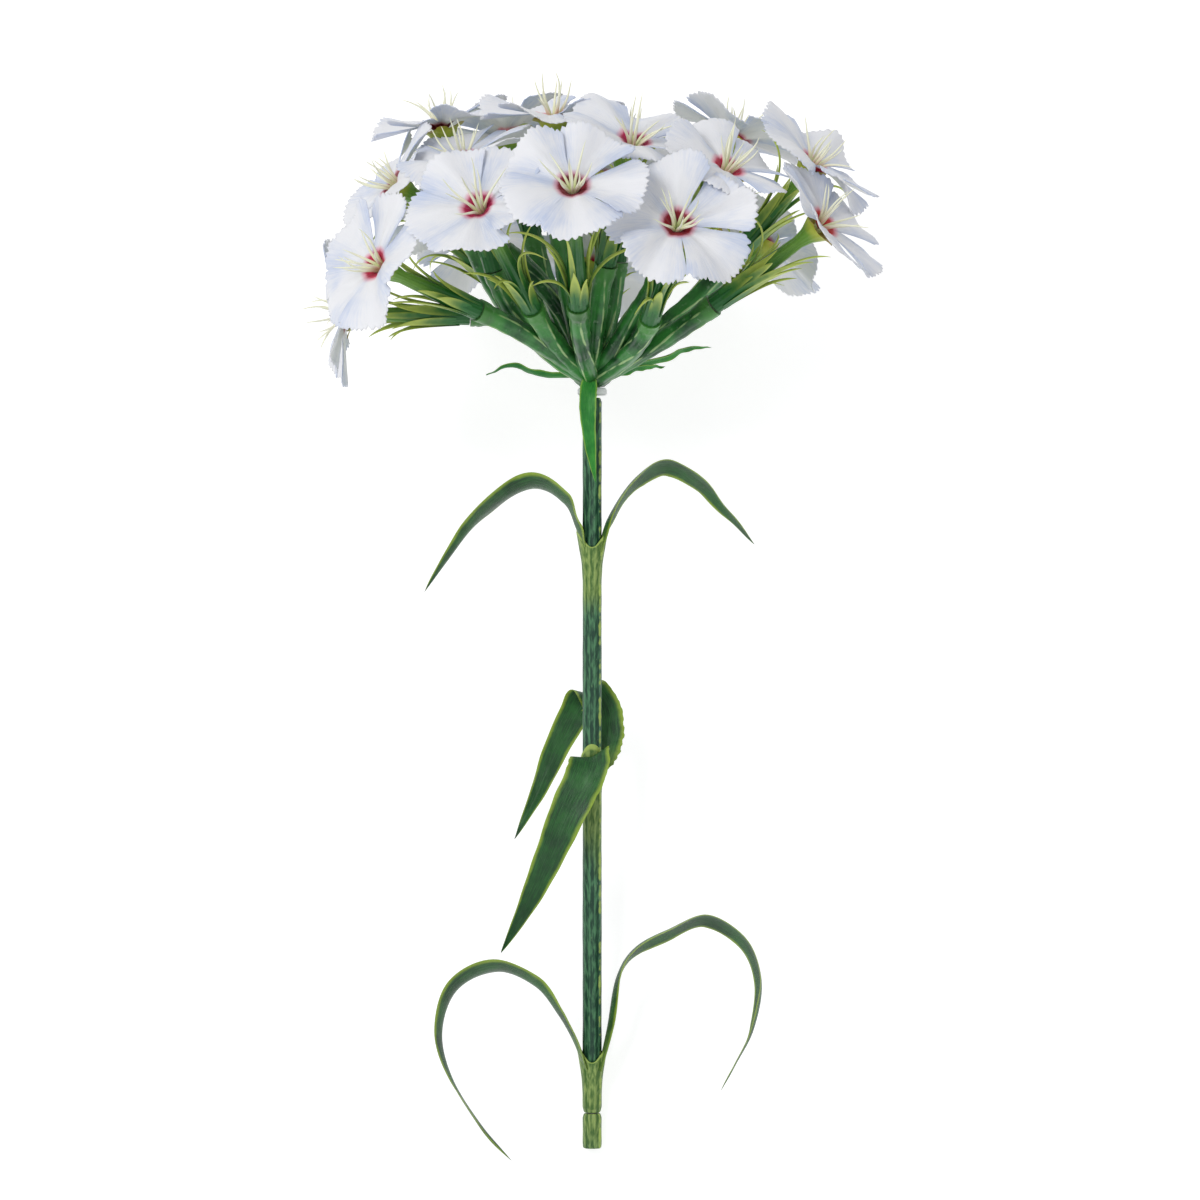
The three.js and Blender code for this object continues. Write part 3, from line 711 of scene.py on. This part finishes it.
def branch_finish():
    """Glossy dark green with pale mould lines, scuffed here and there, olive at the collar."""
    finish = Finish("branch_green", Coat_Weight=0.3, Coat_Roughness=0.16, Specular_IOR_Level=0.45)
    line = finish.attribute("line")
    along = finish.attribute("along")
    place = finish.node("ShaderNodeTexCoord", output="Object")
    cloud = finish.noise(place, 120, 3)
    scuffs = finish.step(finish.noise(place, 700, 4), 0.6, 0.72)
    body = finish.mix(rgb(12, 68, 30), rgb(56, 136, 56), finish.step(cloud, 0.3, 0.66))
    body = finish.mix(body, rgb(172, 204, 138), finish.step(line + cloud * 0.3, 0.4, 0.85) * 0.85)
    body = finish.mix(body, rgb(180, 206, 176), scuffs * 0.25)
    body = finish.mix(body, rgb(84, 146, 60), finish.step(along + (cloud - 0.5) * 0.2, 0.78, 1.0) * 0.5)
    return finish.wear(
        Base_Color=body,
        Roughness=0.28 + 0.3 * cloud,
        Normal=finish.bump(cloud + scuffs * 0.2, 0.0003),
    )


hub = Moulding()
boss_corners = outline([
    (0, HUB_BOTTOM), (3.4, HUB_BOTTOM), (3.8, HUB_BOTTOM + 0.4), (4.6, HUB_BOTTOM + 1), (5.2, HUB_HEIGHT),
    (4.9, HUB_HEIGHT + 2.2), (4, HUB_HEIGHT + 4), (0, HUB_HEIGHT + 5), (0, HUB_HEIGHT + 5),
], 0.7)
angle = np.linspace(0, 2 * np.pi, 48, endpoint=False)[None, :]
boss_radius = boss_corners[:, :1] * (1 + 0.04 * np.cos(9 * angle))
hub.add(turned(boss_radius, boss_corners[:, 1:], angle), line=0, across=0, along=0.3)
for floret in florets:
    grid, line_share, along = branch_grid(floret)
    hub.add(grid, line=line_share, across=0, along=along)
for number, (route, across, half_width) in enumerate(HUB_LEAVES):
    seed = 70 + number
    grid, over_share, along = blade_grid(route, across, half_width, seed, rows=60, columns=24, keel=0.35)
    hub.add(grid, finish=1, line=0, across=over_share, along=along)
young_green = leaf_finish("young_leaf_green", rgb(26, 124, 44), rgb(78, 176, 66), rgb(160, 206, 84))
fit_in(hub.make("umbel_moulding", [branch_finish(), young_green]), "branch_plastic", "umbel_hub")


# The calyxes: moulded green tubes, one to a floret, whose mouths end in five pointed teeth. Long
# narrow bracts spring from each tube's lower half and hook over at their tips.

TUBE_RIM = -1.2
TUBE_RELIEF = 0.12
TUBE_FLUTES = 15
TOOTH_RISE = 1.1
TOOTH_FLARE = 2.6
LIP_THICKNESS = 0.3
WELL_HEIGHTS = [-1.5, -3.4, -3.8]
WELL_RADII = [3.7, 1.6, 0.0]
TUBE_SHARES = [1, 0.8, 0.5]
MOUTH_HEIGHTS = [-8, -5, TUBE_RIM]
TUBE_RADII = [2.7, 2.6, 2.1, 1.7, 2.3, 4.2]


def calyx_grid(floret, rows=44, columns=60):
    """A tube whose radius follows straight lines between given heights and swells towards its mouth,
    with a rib up to each tooth and fine flutes between. Past the rim it climbs and leans outwards by
    the tooth wave, comes back inside by the lip's thickness, and closes in a well."""
    angle = np.linspace(0, 2 * np.pi, columns, endpoint=False)[None, :]
    t = np.linspace(0, 1, rows)[:, None]
    tooth = np.abs(np.cos(0.5 * PETALS * (angle - floret.first_notch))) ** 1.5
    heights = -floret.tube + (TUBE_RIM + floret.tube) * t
    stops = [-share * floret.tube for share in TUBE_SHARES] + MOUTH_HEIGHTS
    body = np.interp(heights[:, 0], stops, TUBE_RADII)[:, None]
    body = body + TUBE_RELIEF * (tooth - 0.5) + 0.08 * np.cos(TUBE_FLUTES * angle)
    climb = np.linspace(0.2, 1, 8)[:, None]
    ragged = 1 + 0.25 * waver(angle, 200 + floret.number, 0.9, 0.37)
    tip_height = TUBE_RIM + climb * (0.2 + TOOTH_RISE * tooth * ragged)
    flare = climb * (0.2 + TOOTH_FLARE * tooth) * (0.4 + 0.6 * climb)
    tip_radius = TUBE_RADII[-1] + TUBE_RELIEF * (tooth - 0.5) + flare
    inner_height = tip_height[::-1] + 0.05
    inner_radius = tip_radius[::-1] - LIP_THICKNESS
    well_height = np.array(WELL_HEIGHTS)[:, None]
    well_radius = np.array(WELL_RADII)[:, None]
    outer_rows = [(0 * angle, -floret.tube + 0 * angle), (body, heights), (tip_radius, tip_height)]
    inner_rows = [(inner_radius, inner_height), (well_radius, well_height)]
    radius = np.concatenate([part[0] + 0 * angle for part in outer_rows + inner_rows])
    height = np.concatenate([part[1] + 0 * angle for part in outer_rows + inner_rows])
    points = np.stack([radius * np.cos(angle), radius * np.sin(angle), height], axis=-1)
    return floret.place(points), height, tooth + 0 * height


BRACT_CEILING = -2.5
BRACT_ROOT = 2.2
BRACT_THICKNESS = 0.28
SCALES = 5
HOOKS = 6
HOOK_TURN = 2.4
# For the broad scales and the long hooks: the ranges of a bract's start above the tube's foot, its
# length, its half width, its spread and its hook.
SCALE_RANGES = [(0.7, 5), (13, 26), (1.5, 2.0), (0.05, 0.45), (0.1, 0.7)]
HOOK_RANGES = [(1, 14), (16, 36), (0.8, 1.2), (0.2, 0.95), (0.2, 1.9)]


def ribbon_grid(middle, ahead, across, half, thickness, columns=10):
    """A flat ellipse carried along a curve, its sides lifted by 0.3 of its half width, which is given
    at each step; closed at its foot."""
    side = unit(across - np.sum(ahead * across, axis=-1, keepdims=True) * ahead)
    over = np.cross(ahead, side)
    angle = np.linspace(0, 2 * np.pi, columns, endpoint=False)
    reach = half[:, None] * np.cos(angle)
    cupped = 0.3 * half[:, None] * np.abs(np.cos(angle))
    thick = np.minimum(thickness, half)[:, None] * np.sin(angle) + cupped
    grid = middle[:, None] + side[:, None] * reach[..., None] + over[:, None] * thick[..., None]
    return np.concatenate([np.broadcast_to(middle[:1, None], grid[:1].shape), grid])


def bract_grid(floret, turn, start, length, half_width, spread, hook, rows=26):
    """A narrow blade that leaves the tube at one height and angle. Its direction starts along the
    tube and swings outwards by the spread, then by the hook towards its tip; it is shortened where
    it would reach the petals."""
    along = np.linspace(0, 1, rows)
    lean = spread * along**0.7 + hook * along**3
    climb = np.cumsum(np.cos(lean)).max() / rows
    length = min(length, (BRACT_CEILING - start) / climb)
    step = length / (rows - 1)
    radial = BRACT_ROOT + np.concatenate([[0], np.cumsum(np.sin(lean[:-1]) * step)])
    height = start + np.concatenate([[0], np.cumsum(np.cos(lean[:-1]) * step)])
    outward = np.array([math.cos(turn), math.sin(turn), 0])
    middle = radial[:, None] * outward + height[:, None] * np.array([0, 0, 1.0])
    ahead = np.sin(lean)[:, None] * outward + np.cos(lean)[:, None] * np.array([0, 0, 1.0])
    across = np.cross(outward, [0, 0, 1.0])
    half = half_width * (0.75 + 0.25 * np.sin(np.pi * along)) * (1 - along**1.8) + 0.05
    grid = ribbon_grid(middle, ahead, across, half, BRACT_THICKNESS)
    shares = np.concatenate([along[:1], along])[:, None] + np.zeros((1, grid.shape[1]))
    edge = np.abs(np.cos(np.linspace(0, 2 * np.pi, grid.shape[1], endpoint=False)))
    return floret.place(grid), shares, edge + 0 * shares


def add_bract(calyx, floret, turn, ranges, dice):
    """Draws one bract's measures from their ranges and adds it to the calyx."""
    start, length, half_width, spread, hook = (dice.uniform(*limits) for limits in ranges)
    grid, shares, edge = bract_grid(floret, turn, start - floret.tube, length, half_width, spread, hook)
    calyx.add(grid, finish=1, height=0, tooth=0, along=shares, edge=edge)


def calyx_finish():
    """Green at the base of the tube, paling through olive to a yellow mouth with warm tooth tips."""
    finish = Finish("calyx_green", Coat_Weight=0.2, Coat_Roughness=0.3, Specular_IOR_Level=0.4)
    height = finish.attribute("height")
    tooth = finish.attribute("tooth")
    cloud = finish.noise(finish.node("ShaderNodeTexCoord", output="Object"), 260, 3)
    climb = height + cloud * 9 + tooth * 3
    body = finish.mix(rgb(28, 100, 40), rgb(104, 152, 52), finish.step(climb, -18, -2))
    body = finish.mix(body, rgb(176, 184, 66), finish.step(height + cloud * 3, -3.5, 0.4))
    body = finish.mix(body, rgb(206, 150, 72), finish.step(height + cloud, -0.6, 0.9) * 0.6)
    return finish.wear(
        Base_Color=body,
        Roughness=0.34 + 0.2 * cloud,
        Normal=finish.bump(cloud, 0.0003),
    )


def bract_finish():
    """Mid green at the foot, fading to chartreuse over the outer half and along the edges."""
    finish = Finish("bract_green", Coat_Weight=0.15, Coat_Roughness=0.3)
    along = finish.attribute("along")
    edge = finish.attribute("edge")
    cloud = finish.noise(finish.node("ShaderNodeTexCoord", output="Object"), 300, 2)
    fade = along + (cloud - 0.5) * 0.4 + edge * 0.25
    body = finish.mix(rgb(40, 112, 44), rgb(186, 202, 88), finish.step(fade, 0.2, 0.9))
    return finish.wear(Base_Color=body, Roughness=0.38 + 0.2 * cloud)


calyx_green = calyx_finish()
bract_green = bract_finish()
for floret in florets:
    dice = np.random.default_rng(300 + floret.number)
    calyx = Moulding()
    grid, height, tooth = calyx_grid(floret)
    calyx.add(grid, height=height, tooth=tooth, along=0, edge=0)
    for count in range(SCALES):
        turn = (count + dice.uniform(-0.2, 0.2)) * 2 * np.pi / SCALES
        add_bract(calyx, floret, turn, SCALE_RANGES, dice)
    for count in range(HOOKS):
        turn = count * HOOK_TURN + dice.uniform(-0.4, 0.4)
        add_bract(calyx, floret, turn, HOOK_RANGES, dice)
    piece = calyx.make(f"calyx_moulding_{floret.label}", [calyx_green, bract_green], sharp=80)
    fit_in(piece, "calyx_plastic", f"calyx_{floret.label}")


# The corollas: satin fabric stamped to five petals with pinked outer edges, heat-set so that each
# petal ripples and curls its own way, and printed with a crimson eye. Sits on the calyx's mouth.

PETAL_LENGTH = 20.5
THROAT = 0.8
EYE_RADIUS = 3.2
EYE_HEIGHT = 1.2
FUNNEL_DEPTH = 2.6
FUNNEL_RADIUS = 2.6
CLOTH = 0.28
OVERLAP = 0.12
TEETH_PER_HALF = 8.5
DROPS = (-2.2, 5)
PLEAT = 0.1
CREASE_WIDTH = 0.34
EYES = [rgb(140, 4, 32), rgb(168, 6, 72), rgb(206, 54, 52), rgb(124, 4, 30), rgb(186, 20, 66)]


def petal_grid(floret, index, drop, dice, across_count=64, along_count=26):
    """A fan in radius and angle, its outer edge rounded at the corners and cut in small uneven
    teeth. Its height is a funnel at the throat, then a straight rise to the rim's height less a curl;
    towards its sides both blend into the neighbours', and one side is lifted over the next petal.
    Radial pleats, a crease down the middle and a ripple that grows outwards lie on top."""
    sweep = np.linspace(-1, 1, across_count)[None, :]
    side = np.abs(sweep)
    along = np.linspace(0, 1, along_count)[:, None] ** 0.85
    length = PETAL_LENGTH * (0.4 + 0.6 * floret.reaches[index]) * dice.uniform(0.96, 1.04)
    tooth_phase = dice.uniform(0, 1)
    tooth_drift = 0.3 * waver(sweep, dice.integers(1e6), 0.8)
    teeth = np.abs((sweep * TEETH_PER_HALF + tooth_phase + tooth_drift) % 1 - 0.5) * 2
    depth = 0.05 + 0.03 * waver(sweep, dice.integers(1e6), 0.33, 0.21)
    wander = 0.025 * waver(sweep, dice.integers(1e6), 1.6, 0.9)
    edge = length * (1 - 0.05 * sweep**2 - 0.09 * side**9 - depth * (1 - teeth) - wander)
    radius = THROAT + (edge - THROAT) * along
    share = radius / PETAL_LENGTH
    parted = np.clip((share - 0.24) / 0.2, 0, 1)
    half_angle = np.pi / PETALS * (1 + parted * (-0.09 + dice.uniform(0.08, 0.2) * share))
    swing = dice.uniform(-0.05, 0.05) * parted
    angle = sweep * half_angle + swing
    x = radius * np.cos(angle)
    y = radius * np.sin(angle)
    before = (index - 1) % PETALS
    after = (index + 1) % PETALS
    blend = 0.5 * side**1.6
    next_rim = np.where(sweep > 0, floret.rim_heights[after], floret.rim_heights[before])
    next_drop = np.where(sweep > 0, drop[after], drop[before])
    rim = floret.rim_heights[index] * (1 - blend) + next_rim * blend
    curl = drop[index] * (1 - blend) + next_drop * blend
    outward = np.clip((radius - EYE_RADIUS) / (PETAL_LENGTH - EYE_RADIUS), 0, None)
    funnel = -FUNNEL_DEPTH * np.exp(-((radius / FUNNEL_RADIUS) ** 2))
    dish = EYE_HEIGHT + funnel + (rim + 0.5 * curl - EYE_HEIGHT) * outward - curl * outward**3
    phases = dice.uniform(0, 2 * np.pi, 3)
    pleats = PLEAT * np.clip(share - 0.2, 0, 1) * (
        np.sin(sweep * dice.uniform(9, 13) + phases[0]) + 0.5 * np.sin(sweep * 21 + phases[1])
    )
    crease_height = dice.uniform(1.2, 3.4) * dice.choice([-1, 1])
    crease_place = dice.uniform(-0.3, 0.3)
    crease = crease_height * np.exp(-(((sweep - crease_place) / CREASE_WIDTH) ** 2))
    ripple = dice.uniform(1.4, 3.2) * share**2 * np.sin(sweep * dice.uniform(2, 3.6) + phases[2])
    inner = 1 - 0.6 * sweep**2
    lapped = OVERLAP * y * np.clip(parted * share * 1.6, 0, 1)
    z = dish + pleats + (crease * share * (1.3 - share) + ripple) * inner + lapped
    turn = floret.petal_angles[index]
    to_side = x * math.cos(turn) - y * math.sin(turn)
    to_rise = x * math.sin(turn) + y * math.cos(turn)
    return floret.place(np.stack([to_side, to_rise, z], axis=-1)), share, sweep + 0 * share


def petal_finish(name, eye):
    """White satin with a fine weave, its colour painted from a bluish shade to a satin highlight: the
    painted highlight lies in clouds and streaks and down each petal's middle, the painted shade towards its
    sides. The eye's edge runs outwards in streaks between the threads, and the eye darkens to painted shade
    in the throat."""
    finish = Finish(
        name, Sheen_Weight=0.1, Sheen_Roughness=0.4, Specular_IOR_Level=0.4,
        Subsurface_Weight=0.3, Subsurface_Radius=(1, 1, 1), Subsurface_Scale=0.0006,
    )
    outward = finish.attribute("outward")
    sweep = finish.attribute("sweep")
    place = finish.node("ShaderNodeTexCoord", output="Object")
    cloud = finish.noise(place, 90, 2)
    rays = finish.node("ShaderNodeCombineXYZ", {}, {0: sweep * 7, 1: outward * 1.2, 2: 0})
    streaks = finish.noise(rays, 3.0, 4)
    weave = finish.node("ShaderNodeCombineXYZ", {}, {0: sweep * 60, 1: outward * 9, 2: 5})
    threads = finish.noise(weave, 2, 2)
    # Painted light: paleness places a painted satin highlight in clouds, streaks and down each petal's
    # middle, and a painted bluish shade towards its sides.
    paleness = streaks * 0.35 + cloud * 0.6 + (1 - abs(sweep)) * 0.3
    white = finish.mix(rgb(188, 199, 224), rgb(231, 231, 234), finish.step(paleness, 0.3, 0.75))
    reach = outward - (streaks - 0.5) * 0.07
    halo = 1 - finish.step(reach, 0.19, 0.28)
    core = 1 - finish.step(reach, 0.175, 0.215)
    # Painted shade: the eye darkens to deep crimson down the funnel of the throat.
    throat_shade = 1 - finish.step(outward, 0.05, 0.13)
    pink = finish.mix(eye, rgb(246, 150, 180), 0.55)
    body = finish.mix(white, pink, halo * 0.8)
    body = finish.mix(body, eye, core)
    body = finish.mix(body, rgb(84, 6, 30), throat_shade * 0.7)
    return finish.wear(
        Base_Color=body,
        Roughness=0.42 + 0.15 * cloud,
        Normal=finish.bump(streaks * 0.5 + threads * 0.3, 0.00025, 0.6),
    )


petal_finishes = [petal_finish(f"petal_satin_{number + 1}", eye) for number, eye in enumerate(EYES)]
for floret in florets:
    dice = np.random.default_rng(500 + floret.number)
    cloth = Moulding()
    drop = dice.uniform(*DROPS, PETALS)
    for index in range(PETALS):
        grid, share, sweep = petal_grid(floret, index, drop, dice)
        cloth.add(grid, loop_columns=False, outward=share, sweep=sweep)
    piece = cloth.make(f"petals_{floret.label}", [petal_finishes[floret.number % len(EYES)]], sharp=80)
    thicken = piece.modifiers.new("cloth", "SOLIDIFY")
    thicken.thickness = CLOTH * MM
    thicken.offset = 0
    fit_in(piece, "petal_fabric", f"corolla_{floret.label}")


# The stamens: a soft cream spray moulded in one, pushed through the corolla into the calyx. Its
# filaments splay and curl, each tapering to a fine tip.

FILAMENTS = 9
FILAMENT_RADIUS = 0.56
FILAMENT_RING = 0.9
FILAMENT_FOOT = -1.5


def filament_grid(floret, turn, dice, rows=14, columns=7):
    """A round taper whose direction swings away from the floret's axis by a lean that grows along it."""
    along = np.linspace(0, 1, rows)
    first_lean = dice.uniform(0.02, 0.4)
    bend = dice.uniform(-0.4, 1.1)
    wave = dice.uniform(3, 6)
    lean = first_lean + bend * along**1.5 + 0.25 * np.sin(along * wave)
    veer = turn + dice.uniform(-0.9, 0.9) * along
    length = dice.uniform(10.5, 15.5)
    step = length / (rows - 1)
    heading = np.stack([np.sin(lean) * np.cos(veer), np.sin(lean) * np.sin(veer), np.cos(lean)], axis=-1)
    start = np.array([FILAMENT_RING * math.cos(turn), FILAMENT_RING * math.sin(turn), FILAMENT_FOOT])
    middle = start + step * np.vstack([np.zeros(3), np.cumsum(heading[:-1], axis=0)])
    radius = FILAMENT_RADIUS * (1 - 0.8 * along**0.8) * (1 - along**12) + 0.03
    side = unit(np.cross(heading, [0.3, 0.5, 0.1]))
    over = np.cross(heading, side)
    angle = np.linspace(0, 2 * np.pi, columns, endpoint=False)
    ring = side[:, None] * np.cos(angle)[:, None] + over[:, None] * np.sin(angle)[:, None]
    grid = middle[:, None] + radius[:, None, None] * ring
    foot_row = np.broadcast_to(middle[:1, None], grid[:1].shape)
    tip_row = np.broadcast_to(middle[-1:, None], grid[:1].shape)
    shares = np.concatenate([[0], along, [1]])[:, None] + np.zeros((1, columns))
    return floret.place(np.concatenate([foot_row, grid, tip_row])), shares


stamen_finish = Finish("stamen_cream", Specular_IOR_Level=0.35)
stamen_along = stamen_finish.attribute("along")
stamen_cloud = stamen_finish.noise(stamen_finish.node("ShaderNodeTexCoord", output="Object"), 300, 2)
stamen_fade = stamen_finish.step(stamen_along + stamen_cloud * 0.2, 0.0, 0.6)
stamen_finish.wear(
    Base_Color=stamen_finish.mix(rgb(206, 214, 148), rgb(240, 240, 214), stamen_fade),
    Roughness=0.42 + 0.1 * stamen_cloud,
)
for floret in florets:
    dice = np.random.default_rng(700 + floret.number)
    spray = Moulding()
    for count in range(FILAMENTS):
        turn = (count + dice.uniform(-0.3, 0.3)) * 2 * np.pi / FILAMENTS
        grid, shares = filament_grid(floret, turn, dice)
        spray.add(grid, along=shares)
    fit_in(spray.make(f"stamens_{floret.label}", [stamen_finish.material]), "stamen_plastic")
